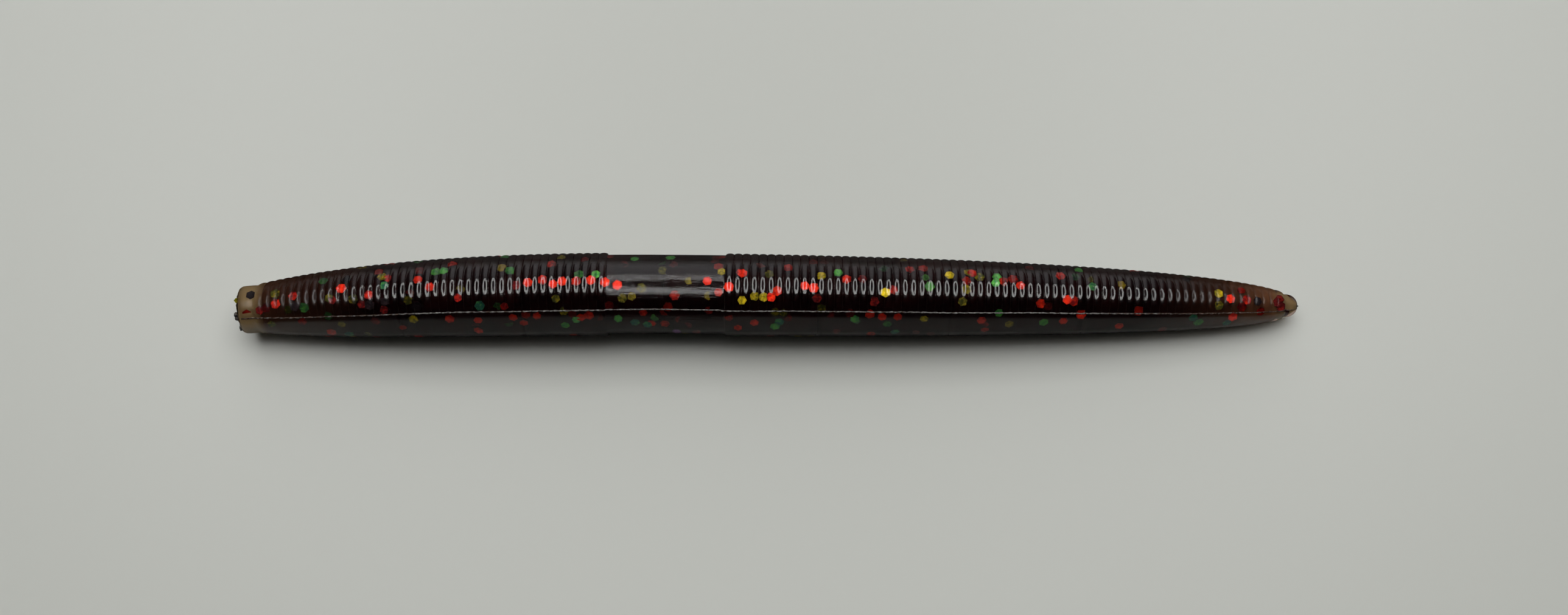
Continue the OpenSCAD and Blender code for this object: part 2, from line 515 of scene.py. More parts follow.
@dataclass(frozen=True)
class ClearSkin:
    """Soft PVC plastisol, injected against polished aluminium.

    The eye gets a wet, clear gloss over every rib, drawn lines along the polished collar, and a
    wine tint that darkens what lies below it.
    """

    name: str = "plastisol_moulded_gloss_skin"
    tint: str = "#dfcdc5"
    shade: str = "#d3d0ca"
    ior: float = 1.47
    gloss: float = 0.1
    draw_line_mm: float = 0.12
    draw_line_widening: float = 3.0
    draw_line_depth_mm: float = 0.035
    ripple_mm: float = 0.55
    ripple_depth_mm: float = 0.006
    most_mirrored: float = 0.1
    # Painted shade: the share of gloss kept far over the top, dimming what the skin mirrors there.
    far_gloss_painted_shade: float = 0.25
    # Painted shade: the share of gloss kept below the near seam, dimming the table's reflection there.
    lower_gloss_painted_shade: float = 0.6
    lower_worn_shine: float = 1.0
    worn_roughness: float = 0.1
    worn_shine: float = 0.35
    worn_haze: float = 0.25

    def build(self) -> bpy.types.Material:
        """Makes the material.

        Returns:
            A clear material that bends the view and lets lamps through to the glitter.
        """
        material, tree = new_material(self.name)
        straight = add_node(tree, "Attribute", attribute_name="straight").outputs["Vector"]
        parts = add_node(tree, "SeparateXYZ", {0: straight})
        # Draw lines run lengthwise on the collar only, and are drawn wider than real ones so that they show.
        squeezed = add_node(tree, "Mapping", {"Vector": straight, "Scale": (0.12, 1, 1)})
        lines = add_node(
            tree, "TexNoise",
            {"Vector": squeezed, "Scale": 1 / (self.draw_line_widening * self.draw_line_mm),
             "Detail": 4.0, "Roughness": 0.65}
        )
        in_front = add_node(
            tree, "MapRange",
            {"Value": parts.outputs["X"], "From Min": SHAPE.collar_start,
             "From Max": SHAPE.collar_start + 0.3}
        )
        behind = add_node(
            tree, "MapRange",
            {"Value": parts.outputs["X"], "From Min": SHAPE.collar_end,
             "From Max": SHAPE.collar_end - 0.3}
        )
        collar = add_node(tree, "Math", {0: in_front, 1: behind}, operation="MULTIPLY")
        ripple = add_node(
            tree, "TexNoise",
            {"Vector": straight, "Scale": 1 / self.ripple_mm, "Detail": 3.0, "Roughness": 0.6}
        )
        scored = add_node(
            tree, "Bump",
            {"Strength": collar, "Distance": self.draw_line_depth_mm * MM, "Height": lines.outputs["Fac"]}
        )
        bump = add_node(
            tree, "Bump",
            {"Strength": 0.6, "Distance": self.ripple_depth_mm * MM, "Height": ripple.outputs["Fac"],
             "Normal": scored}
        )
        along = add_node(tree, "MapRange", {"Value": parts.outputs["X"], "From Max": SHAPE.length})
        worn = ramp(
            tree, along,
            [(0.04, grey(1)), (0.08, grey(0.7)), (0.12, grey(0.3)), (0.17, grey(0)), (0.83, grey(0)),
             (0.87, grey(0.4)), (0.92, grey(1))]
        )
        even = add_node(
            tree, "MapRange",
            {"Value": ripple.outputs["Fac"], "From Min": 0.3, "From Max": 0.7, "To Min": self.gloss * 0.7,
             "To Max": self.gloss * 1.6}
        )
        rough = add_node(
            tree, "Math", {0: worn, 1: self.worn_roughness, 2: even}, operation="MULTIPLY_ADD"
        )
        shine = self._gloss_wear_and_painted_shade(tree, parts, worn)
        gloss = add_node(tree, "BsdfAnisotropic", {"Color": shine, "Roughness": rough, "Normal": bump})
        haze = add_node(tree, "MapRange", {"Value": worn, "To Min": 0.02, "To Max": self.worn_haze})
        bent = add_node(
            tree, "BsdfRefraction",
            {"Color": linear(self.tint), "IOR": self.ior, "Roughness": haze, "Normal": bump}
        )
        straight_through = add_node(tree, "BsdfTransparent", {"Color": linear(self.shade)})
        rays = add_node(tree, "LightPath")
        inside = add_node(
            tree, "MixShader", {0: rays.outputs["Is Shadow Ray"], 1: bent, 2: straight_through}
        )
        fresnel = add_node(tree, "Fresnel", {"IOR": self.ior, "Normal": bump})
        mirrored = add_node(tree, "Math", {0: fresnel, 1: self.most_mirrored}, operation="MINIMUM")
        mix = add_node(tree, "MixShader", {0: mirrored, 1: inside, 2: gloss})
        add_node(tree, "OutputMaterial", {"Surface": mix})
        return material

    def _gloss_wear_and_painted_shade(
        self, tree: bpy.types.NodeTree, parts: bpy.types.Node, worn: bpy.types.Node
    ) -> bpy.types.Node:
        """How much of its gloss the skin keeps: less on the worn ends from wear, and less as painted shade
        below the near seam, in a thin band along the seam and far over the top.

        Args:
            tree: The material's tree.
            parts: The node that gives the place on the straight worm, in millimetres.
            worn: The node that gives 1 on the worn ends and 0 between them.

        Returns:
            The node that gives a grey value for the gloss.
        """
        near = add_node(tree, "Math", {0: parts.outputs["Y"], 1: -1.0}, operation="MULTIPLY")
        angle = add_node(tree, "Math", {0: parts.outputs["Z"], 1: near}, operation="ARCTAN2")
        turn = add_node(tree, "MapRange", {"Value": angle, "From Min": -math.pi, "From Max": math.pi})
        seam = 0.5 + SHAPE.seam_angle / 360
        # Painted shade: the gloss drops to a tenth in a thin band along the near seam.
        edge = grey(0.1)
        # Painted shade: the gloss far over the top is dimmed.
        far = grey(self.far_gloss_painted_shade)
        upper = ramp(
            tree, turn,
            [(seam, edge), (seam + 0.004, grey(1)), (0.84, grey(1)), (0.88, far), (0.945, far),
             (0.96, grey(1))]
        )
        lower = ramp(
            tree, turn,
            [(seam - 0.5, grey(1)), (seam - 0.036, grey(1)), (seam - 0.02, edge), (seam, edge)]
        )
        is_upper = add_node(tree, "Math", {0: turn, 1: seam}, operation="GREATER_THAN")
        upper_kept = add_node(tree, "MapRange", {"Value": worn, "To Min": 1.0, "To Max": self.worn_shine})
        # Painted shade: below the near seam the gloss is dimmed, except on the worn ends.
        lower_kept = add_node(
            tree, "MapRange", {"Value": worn, "To Min": self.lower_gloss_painted_shade, "To Max": self.lower_worn_shine}
        )
        shines = [
            add_node(tree, "Math", {0: part, 1: kept}, operation="MULTIPLY") for part,
            kept in ((lower, lower_kept), (upper, upper_kept))
        ]
        between = {0: is_upper, 2: shines[0], 3: shines[1]}
        return add_node(tree, "Mix", between)


@dataclass(frozen=True)
class CloudyCore:
    """The same plastisol, seen deep: nearly black wine where it is thick, tan where it is thin."""

    name: str = "plastisol_cloudy_core"
    deep: str = "#140609"
    wine: str = "#1f0a0c"
    brown: str = "#4a3426"
    amber: str = "#7a5c44"
    tan: str = "#a8a078"
    cloud_mm: float = 4.0

    def build(self) -> bpy.types.Material:
        """Makes the material, with its colour set along the worm."""
        material, tree = new_material(self.name)
        straight = add_node(tree, "Attribute", attribute_name="straight").outputs["Vector"]
        parts = add_node(tree, "SeparateXYZ", {0: straight})
        cloud = add_node(
            tree, "TexNoise", {"Vector": straight, "Scale": 1 / self.cloud_mm, "Detail": 3.0}
        )
        along = add_node(tree, "MapRange", {"Value": parts.outputs["X"], "From Max": SHAPE.length})
        body = ramp(tree, cloud.outputs["Fac"], [(0.42, linear(self.deep)), (0.62, linear(self.wine))])
        thin = ramp(
            tree, along,
            [(0.0, linear(self.tan)), (0.019, linear(self.tan)), (0.026, linear(self.brown)),
             (0.92, linear(self.brown)), (0.97, linear(self.amber)), (0.984, linear(self.tan))]
        )
        share = ramp(
            tree, along,
            [(0.021, grey(1)), (0.06, grey(0.4)), (0.14, grey(0)), (0.86, grey(0)), (0.93, grey(0.75)),
             (0.965, grey(1))]
        )
        between = {0: share, 6: body, 7: thin}
        colour = add_node(tree, "Mix", between, data_type="RGBA")
        shader = add_node(
            tree, "BsdfPrincipled",
            {"Base Color": colour.outputs[2], "Roughness": 0.9, "Specular IOR Level": 0.0}
        )
        add_node(tree, "OutputMaterial", {"Surface": shader})
        return material


@dataclass(frozen=True)
class GlitterFilm:
    """Hex-cut aluminised polyester glitter: a dyed mirror film, dulled by the plastisol over it.

    A faint glow stands for the light that the cloudy plastisol scatters onto each flake.
    """

    colour: Glitter
    bright: str
    dull: str
    metallic: float = 0.9
    roughness: float = 0.42
    core: str = "#170709"
    crease_mm: float = 0.42
    crease_depth_mm: float = 0.07
    most_sunk: float = 0.86
    scattered: float = 0.07

    def build(self) -> bpy.types.Material:
        """Makes the material: brightness from each flake's depth, and a soft rim on the deep ones."""
        material, tree = new_material(f"polyester_hex_glitter_{self.colour.value}")
        depth, rim, variety = (
            add_node(tree, "Attribute",
             attribute_name=name).outputs["Fac"] for name in ("depth", "rim", "variety")
        )
        straight = add_node(tree, "Attribute", attribute_name="straight").outputs["Vector"]
        crease = add_node(
            tree, "TexNoise",
            {"Vector": straight, "Scale": 1 / self.crease_mm, "Detail": 2.0, "Roughness": 0.6}
        )
        uneven = add_node(
            tree, "MapRange",
            {"Value": crease.outputs["Fac"], "From Min": 0.35, "From Max": 0.65, "To Min": -0.35,
             "To Max": 0.45}
        )
        mixed = add_node(tree, "Math", {0: variety, 1: uneven}, operation="ADD")
        film = ramp(tree, mixed, [(0.0, linear(self.bright)), (1.0, linear(self.dull))])
        bump = add_node(
            tree, "Bump",
            {"Strength": 1.0, "Distance": self.crease_depth_mm * MM, "Height": crease.outputs["Fac"]}
        )
        soft = add_node(
            tree, "MapRange",
            {"Value": rim, "From Min": 0.5, "From Max": 1.0, "To Min": 0.0, "To Max": 1.0},
            interpolation_type="SMOOTHSTEP"
        )
        softness = add_node(tree, "MapRange", {"Value": depth, "To Min": 0.3, "To Max": 1.0})
        blurred = add_node(tree, "Math", {0: soft, 1: softness}, operation="MULTIPLY")
        sunk = add_node(tree, "MapRange", {"Value": depth, "To Min": 0.0, "To Max": self.most_sunk})
        hidden = add_node(tree, "Math", {0: blurred, 1: sunk}, operation="MAXIMUM")
        between = {0: hidden, 6: film, 7: linear(self.core)}
        colour = add_node(tree, "Mix", between, data_type="RGBA")
        shader = add_node(
            tree, "BsdfPrincipled",
            {"Base Color": colour.outputs[2], "Metallic": self.metallic, "Roughness": self.roughness,
             "Normal": bump, "Emission Color": colour.outputs[2], "Emission Strength": self.scattered}
        )
        add_node(tree, "OutputMaterial", {"Surface": shader})
        return material


@dataclass(frozen=True)
class TornEdge:
    """Plastisol where it is paper-thin or torn: the flash of the seam and the sprue's torn scraps."""

    name: str
    light: str
    dark: str
    grain_mm: float = 0.25
    grain_depth_mm: float = 0.02
    roughness: float = 0.38

    def build(self) -> bpy.types.Material:
        """Makes the material."""
        material, tree = new_material(self.name)
        straight = add_node(tree, "Attribute", attribute_name="straight").outputs["Vector"]
        grain = add_node(
            tree, "TexNoise", {"Vector": straight, "Scale": 1 / self.grain_mm, "Detail": 3.0}
        )
        colour = ramp(tree, grain.outputs["Fac"], [(0.38, linear(self.dark)), (0.66, linear(self.light))])
        bump = add_node(
            tree, "Bump",
            {"Strength": 0.7, "Distance": self.grain_depth_mm * MM, "Height": grain.outputs["Fac"]}
        )
        shader = add_node(
            tree, "BsdfPrincipled",
            {"Base Color": colour, "Roughness": self.roughness, "Normal": bump, "IOR": 1.47}
        )
        add_node(tree, "OutputMaterial", {"Surface": shader})
        return material


# ---------------------------------------------------------------- the casting


@dataclass
class Casting:
    """The casting: its clear ribbed skin, its cloudy core and the flash along the mould's seams."""

    skin_steps: int = 128
    core_steps: int = 64
    rib_stations: tuple[float, ...] = (
        0.0, 0.022, 0.06, 0.12, 0.17, 0.25, 0.34, 0.44, 0.56, 0.66, 0.75, 0.83, 0.88, 0.94, 0.978
    )
    flash_width: float = 0.22
    flash_height: float = 0.13
    flash_sides: int = 6
    flash_rows_per_mm: int = 7
    flash_from: float = 0.8
    flash_to: float = 130.0
    flash_grows: tuple[float, float, float] = (12.0, 12.0, 0.3)
    flash_fades: tuple[float, float, float] = (117.0, 14.0, 0.15)
    core_from: float = 0.58
    core_to: float = 130.2
    core_row_mm: float = 0.8
    stub_skin: float = 0.22
    nub_skin: float = 0.3
    nub_core_dome: float = 0.9
    stub_outline: tuple[tuple[float, float], ...] = (
        (0.5, 0.0), (0.48, 0.5), (0.46, 1.0), (0.43, 1.5), (0.4, 1.95), (0.36, 2.3), (0.34, 2.55),
        (0.36, 2.72), (0.46, 2.84), (0.66, 2.91), (1.0, 2.93), (1.5, 2.94), (2.0, 2.93), (2.4, 2.9)
    )

    def outline(self) -> list[tuple[float, float]]:
        """The skin's outline from the torn face of the stub to the dome of the nub.

        Returns:
            Points of distance and radius, with the ribs' full depth.
        """
        points = list(self.stub_outline)
        points += self._ribs(SHAPE.stub_length, SHAPE.head_pitch, SHAPE.head_ribs)
        r = SHAPE.collar_r
        points += [(SHAPE.collar_start, r - 0.06), (SHAPE.collar_start + 0.06, r - 0.02)]
        middle = stretches()[3].start
        before = np.linspace(SHAPE.collar_start + 0.2, middle, 12)
        after = np.linspace(middle, SHAPE.collar_end - 0.2, 13)[1:]
        points += [(float(s), r) for s in (*before, *after)]
        points += [(SHAPE.collar_end - 0.05, r - 0.02)]
        points += self._ribs(SHAPE.tail_start, SHAPE.tail_pitch, SHAPE.tail_ribs)
        r = SHAPE.nub_r
        points += [(SHAPE.nub_start + 0.03, r + 0.12), (SHAPE.nub_start + 0.16, r + 0.03), (129.1, r)]
        for step in range(7):
            turn = math.pi / 2 * step / 7
            points.append((SHAPE.nub_dome_at + SHAPE.nub_dome * math.sin(turn), r * math.cos(turn)))
        points.append((SHAPE.nub_dome_at + SHAPE.nub_dome, 0.0))
        return points

    def _ribs(self, start: float, pitch: float, count: int) -> list[tuple[float, float]]:
        """Outline points of a run of ribs, without its last groove."""
        s = np.array([start + (rib + turn) * pitch for rib in range(count) for turn in self.rib_stations])
        return list(zip(s.tolist(), (SHAPE.crest(s) - SHAPE.groove(s)).tolist()))

    def build_skin(self, stretch: Stretch) -> bpy.types.Object:
        """The clear ribbed skin of one stretch.

        Args:
            stretch: Where the skin starts and ends.

        Returns:
            The skin, laid on the table.
        """
        slack = 1e-4
        line = [p for p in self.outline() if stretch.start - slack <= p[0] <= stretch.end + slack]
        if abs(line[-1][0] - stretch.end) > slack and stretch.end < SHAPE.length:
            raise ValueError(f"{stretch.name} does not end on a station")
        piece = turned(f"{stretch.name}_clear_skin", line, self.skin_steps)
        s, radius, angle = polar(piece)
        plain = SHAPE.plain_half(angle)
        radius = radius + np.where(plain, SHAPE.groove(s) * (1 - SHAPE.plain_half_depth), 0)
        radius *= SHAPE.facet(s, angle)
        ribbed = (s > SHAPE.stub_length) & (s < SHAPE.nub_start)
        uneven = wave(s, 2.3, 0.4) * wave(angle * 5, 9.0, 1.3) * 0.012
        radius = radius + np.where(ribbed, np.minimum(uneven, 0), 0)
        torn = np.clip((0.62 - s) / 0.3, 0, 1)
        ragged = wave(radius * np.cos(angle), 1.7, 0.9) * wave(radius * np.sin(angle), 1.3, 2.2)
        shifted = s - torn * 0.2 * ragged
        lay(piece, shifted, radius, angle)
        return piece

    def build_core(self, stretch: Stretch) -> bpy.types.Object:
        """The cloudy core of one stretch, closed at both ends.

        Args:
            stretch: Where the core starts and ends.

        Returns:
            The core, laid on the table.
        """
        first = max(stretch.start, self.core_from)
        last = min(stretch.end, self.core_to)
        s = np.linspace(first, last, int((last - first) / self.core_row_mm) + 2)
        radius = SHAPE.core(s)
        nub_r = SHAPE.nub_r - self.nub_skin
        radius = np.where(s < SHAPE.stub_length + 0.3, SHAPE.stub_r - self.stub_skin, radius)
        radius = np.where(s > SHAPE.nub_start - 1.0, np.minimum(radius, nub_r), radius)
        dome = np.sqrt(np.clip((SHAPE.nub_dome_at + self.nub_core_dome - s) / self.nub_core_dome, 0, 1))
        radius = np.where(s > SHAPE.nub_dome_at, np.minimum(radius, nub_r * dome), radius)
        line = [(first, 0.0), *zip(s.tolist(), np.maximum(radius, 0.2).tolist()), (last, 0.0)]
        piece = turned(f"{stretch.name}_cloudy_core", line, self.core_steps)
        s, radius, angle = polar(piece)
        radius *= SHAPE.facet(s, angle)
        lay(piece, s, radius, angle, lift=BELLY_GAP)
        return piece

    def build_flash(self, stretch: Stretch) -> bpy.types.Object:
        """The ragged flash along both seams of one stretch.

        Args:
            stretch: Where the flash starts and ends.

        Returns:
            Two thin closed ridges as one piece, laid on the table.
        """
        first = max(stretch.start, self.flash_from)
        last = min(stretch.end, self.flash_to)
        rows = int((last - first) * self.flash_rows_per_mm)
        ridges = [self._ridge(first, last, rows, SHAPE.seam_angle + far, 1.0 + far) for far in (0.0, 180.0)]
        return joined(ridges, f"{stretch.name}_seam_flash")

    def _ridge(self, first: float, last: float, rows: int, seam: float, seed: float) -> bpy.types.Object:
        """One ridge of flash: a long grid rolled into a thin closed tube and laid along the seam."""
        deselect()
        bpy.ops.mesh.primitive_grid_add(x_subdivisions=rows, y_subdivisions=self.flash_sides, size=2)
        piece = bpy.context.object
        grid = vertices_of(piece)
        s = first + (grid[:, 0] + 1) / 2 * (last - first)
        roll = (grid[:, 1] + 1) * math.pi
        beads = 1 - SHAPE.groove(s) / SHAPE.rib_depth
        plain = SHAPE.groove(s) + SHAPE.groove(s + 0.5) < 1e-6
        beads = np.where(plain, 0.45, np.clip(beads, 0, 1) ** 1.5)
        ragged = 0.55 + 0.45 * wave(s, 1.9, seed) + 0.45 * wave(s, 0.61, seed + 2)
        height = self.flash_height * np.clip(0.12 + beads * ragged, 0.05, 1.4)
        grows_from, grows_over, least_at_head = self.flash_grows
        fades_to, fades_over, least_at_tail = self.flash_fades
        fade = np.clip((s - grows_from) / grows_over, least_at_head, 1)
        height = height * (fade * np.clip((fades_to - s) / fades_over, least_at_tail, 1))
        width = self.flash_width * (0.75 + 0.35 * wave(s, 1.3, seed + 4)) / 2
        ground = np.where(plain, np.minimum(SHAPE.crest(s), SHAPE.collar_r), SHAPE.crest(s))
        ground = np.where(s < SHAPE.stub_length, SHAPE.stub_r - 0.02, ground - SHAPE.groove(s) * 0.5)
        ground = np.where(s > SHAPE.nub_start, SHAPE.nub_r, ground)
        dome = np.clip((s - SHAPE.nub_dome_at) / SHAPE.nub_dome, 0, 1)
        ground = ground * np.sqrt(1 - dome**2)
        radius = ground + height * np.cos(roll) - 0.02
        sway = 0.5 * wave(s, 24.0, seed) + 0.12 * wave(s, 1.4, seed + 1)
        sideways = width * np.sin(roll) + 0.09 * sway
        angle = math.radians(seam) + sideways / np.maximum(radius, 1)
        lay(piece, s, radius, angle)
        bpy.ops.object.mode_set(mode="EDIT")
        bpy.ops.mesh.select_all(action="SELECT")
        bpy.ops.mesh.remove_doubles(threshold=WELD)
        bpy.ops.mesh.select_all(action="DESELECT")
        bpy.ops.mesh.select_non_manifold(extend=False)
        bpy.ops.mesh.edge_face_add()
        bpy.ops.mesh.select_all(action="SELECT")
        bpy.ops.mesh.normals_make_consistent(inside=False)
        bpy.ops.object.mode_set(mode="OBJECT")
        bpy.ops.object.shade_smooth()
        return piece


# ---------------------------------------------------------------- glitter


@dataclass(frozen=True)
class Flake:
    """One hexagonal flake: where it lies in the casting and how it is turned."""

    colour: Glitter
    s: float
    angle: float
    depth: float
    variety: float
    spin: float
    tilt: tuple[float, float]
    size: float


@dataclass
class GlitterMix:
    """The glitter stirred into the plastisol before it was injected."""

    width: float = 1.05
    thickness: float = 0.03
    count: int = 360
    spacing: float = 0.75
    shallow: float = 0.27
    deep: float = 0.5
    seed: int = 41
    most_tries: int = 20000
    first_s: float = 1.3
    last_s: float = 129.4
    black_until: float = 14.0
    black_again_from: float = 112.0
    seen_until: float = 170.0
    seen_deeper: float = 0.75
    placed_tilt: float = 5.0
    stirred_tilt: float = 7.0

    def placed(self) -> list[Flake]:
        """The flakes that stand out, each put where it lies.

        Returns:
            Flakes with their distance along the worm in millimetres and angle in degrees.
        """
        bright_red = [
            (13.7, 104), (23, 109), (36.3, 97), (39.3, 94), (40.4, 98), (43.8, 99), (45.5, 96), (47, 92),
            (57.8, 99), (60.4, 90), (62, 111), (65.5, 76), (66.2, 85), (70.6, 90), (69.5, 93),
            (74.5, 104), (89.7, 121), (95.5, 101), (101.2, 79), (121.5, 92)
        ]
        plain_red = [
            (1.6, 66), (5.4, 86), (7.6, 99), (17.1, 89), (24.5, 96), (38, 101), (42.1, 98), (53.9, 77),
            (38.9, 129), (61.8, 113), (67.5, 123), (100.5, 124), (102, 77), (123, 120), (123.6, 92),
            (125.5, 57), (82.2, 126), (83.9, 129)
        ]
        veil_red = [
            (26.6, 43), (42.5, 42), (43.5, 46), (51, 28), (61.5, 21), (63.5, 32), (91, 39), (101, 37),
            (103, 52), (108, 22), (122, 42), (37.2, 46), (30, 39), (34.3, 44), (35.5, 32), (29.8, 17),
            (78.9, 46), (80.8, 46), (77.4, 51)
        ]
        deep_red = [
            (4.2, 79), (12.6, 85), (18.8, 63), (23, 128), (17.5, 41), (127.7, 92), (128.1, 74),
            (128.0, 108), (41.5, 48), (46, 61), (53.6, 130), (58, 54), (58.6, 140), (67.5, 42),
            (70.5, 138), (71, 75), (75, 52), (97, 143), (77.9, 71), (76.4, 106)
        ]
        green = [
            (40.5, 26), (41.9, 37), (44.4, 108), (47, 38), (48.9, 143), (53.2, 148), (66, 24),
            (73.5, 115), (75.6, 41), (92.5, 104), (92.7, 115), (93, 55), (103, 144), (25.1, 122),
            (26, 123)
        ]
        deep_green = [(8.9, 74), (11.3, 126), (51.5, 40), (79.6, 29), (75.8, 36), (84.5, 96)]
        teal = [(13.7, 9), (49, 30), (50.5, 25), (66.5, 34), (117, 42), (121.5, 20), (80.6, 13)]
        gold = [(62, 71), (79.2, 85), (87, 116)]
        lime = [
            (63.5, 77), (64.6, 76), (71.5, 109), (89.3, 123), (120, 104), (22.2, 44), (18.6, 120),
            (59.5, 115), (84, 42)
        ]
        olive = [
            (5.3, 110), (12.2, 89), (21.8, 77), (39.6, 73), (40.5, 54), (47.6, 73), (49.9, 88),
            (52.4, 117), (66, 53), (67, 52), (71.5, 60), (88.5, 73), (120, 75)
        ]
        black = [(2.1, 117), (7.8, 78), (14.3, 122), (17.2, 72), (19, 77), (22.8, 67), (125, 90)]
        groups = [
            (Glitter.RED, bright_red, 0.0, 0.1), (Glitter.RED, plain_red, 0.35, 0.5),
            (Glitter.RED, veil_red, 0.08, 0.3), (Glitter.RED, deep_red, 0.8, 0.9),
            (Glitter.GREEN, green, 0.1, 0.15), (Glitter.GREEN, deep_green, 0.7, 0.3),
            (Glitter.GREEN, teal, 0.15, 0.9), (Glitter.GOLD, gold, 0.0, 0.0),
            (Glitter.GOLD, lime, 0.2, 0.4), (Glitter.GOLD, olive, 0.7, 0.85),
            (Glitter.BLACK, black, 0.05, 0.5), (Glitter.PURPLE, [(54, 7)], 0.1, 0.2)
        ]
        chance = random.Random(self.seed)
        made = []
        for colour, spots, depth, variety in groups:
            for s, angle in spots:
                spin = chance.uniform(0, 60)
                tilt = (chance.gauss(0, self.placed_tilt), chance.gauss(0, self.placed_tilt))
                made.append(Flake(colour, s, angle, depth, variety, spin, tilt, chance.uniform(0.9, 1.08)))
        return made

    def stirred(self) -> list[Flake]:
        """All flakes: those placed and those scattered at random between them."""
        made = self.placed()
        chance = random.Random(self.seed + 1)
        shares = [(Glitter.RED, 0.52), (Glitter.GREEN, 0.24), (Glitter.GOLD, 0.22), (Glitter.BLACK, 0.02)]
        tries = 0
        while len(made) < self.count and tries < self.most_tries:
            tries += 1
            s = chance.uniform(self.first_s, self.last_s)
            angle = chance.uniform(0, 360)
            reach = float(SHAPE.crest(np.array([s]))[0])
            if chance.random() > reach / SHAPE.thickest_r:
                continue
            if min(self._gap(flake, s, angle, reach) for flake in made) < self.spacing:
                continue
            pick, colour = chance.random(), Glitter.RED
            for candidate, share in shares:
                colour = candidate
                pick -= share
                if pick < 0:
                    break
            if colour is Glitter.BLACK and self.black_until < s < self.black_again_from:
                colour = Glitter.RED
            seen = 0 < angle < self.seen_until
            depth = 1 - (1 - chance.random()) ** 1.6 * (self.seen_deeper if seen else 1.0)
            variety = chance.random()
            spin = chance.uniform(0, 60)
            tilt = (chance.gauss(0, self.stirred_tilt), chance.gauss(0, self.stirred_tilt))
            made.append(Flake(colour, s, angle, depth, variety, spin, tilt, chance.uniform(0.85, 1.1)))
        return made

    def _gap(self, flake: Flake, s: float, angle: float, reach: float) -> float:
        """Distance in millimetres, over a surface of the given radius, from a flake to a place."""
        turn = (flake.angle - angle + 180) % 360 - 180
        return math.hypot(flake.s - s, reach * math.radians(turn))

    def build(self, stretch: Stretch, colour: Glitter, flakes: Sequence[Flake]) -> bpy.types.Object | None:
        """The flakes of one colour in one stretch, as one piece.

        Args:
            stretch: The stretch.
            colour: The colour.
            flakes: All flakes of the worm.

        Returns:
            The joined flakes, or None if this stretch has none of that colour.
        """
        mine = [f for f in flakes if f.colour is colour and stretch.start <= f.s < stretch.end]
        if not mine:
            return None
        pattern = self.hexagon()
        copies = []
        for flake in mine:
            copy = bpy.data.objects.new("flake", pattern.data.copy())
            bpy.context.scene.collection.objects.link(copy)
            self._set(copy, flake)
            copies.append(copy)
        bpy.data.objects.remove(pattern)
        return joined(copies, f"{stretch.name}_{colour.value}_glitter")

    def hexagon(self) -> bpy.types.Object:
        """One flake at the origin, in millimetres: a thin hexagonal prism with a fan on each face."""
        deselect()
        bpy.ops.mesh.primitive_cylinder_add(
            vertices=6, radius=self.width / math.sqrt(3), depth=self.thickness, end_fill_type="TRIFAN"
        )
        return bpy.context.object

    def _set(self, copy: bpy.types.Object, flake: Flake) -> None:
        """Puts one flake in its place in the casting."""
        co = vertices_of(copy)
        rim = np.where(np.hypot(co[:, 0], co[:, 1]) > 0.1, 1.0, 0.0)
        spin = math.radians(flake.spin)
        across = (co[:, 0] * math.cos(spin) - co[:, 1] * math.sin(spin)) * flake.size
        round_it = (co[:, 0] * math.sin(spin) + co[:, 1] * math.cos(spin)) * flake.size
        out = co[:, 2] + across * math.tan(math.radians(flake.tilt[0]))
        out = out + round_it * math.tan(math.radians(flake.tilt[1]))
        base = float(SHAPE.crest(np.array([flake.s]))[0])
        if SHAPE.collar_start < flake.s < SHAPE.collar_end:
            base = SHAPE.collar_r + 0.08
        if flake.s < SHAPE.stub_length:
            base = SHAPE.stub_r + 0.1
        if flake.s > SHAPE.nub_start:
            base = SHAPE.nub_r + 0.1
        angle0 = np.array([math.radians(flake.angle)])
        base *= float(SHAPE.facet(np.array([flake.s]), angle0)[0])
        radial = base - self.shallow - (self.deep - self.shallow) * flake.depth + out
        radius = np.hypot(radial, round_it)
        angle = angle0 + np.arctan2(round_it, radial)
        lay(copy, flake.s + across, radius, angle, lift=BELLY_GAP + co[:, 2])
        set_attribute(copy, "rim", rim)
        set_attribute(copy, "depth", np.full(len(co), flake.depth))
        set_attribute(copy, "variety", np.full(len(co), flake.variety))


# ---------------------------------------------------------------- ends


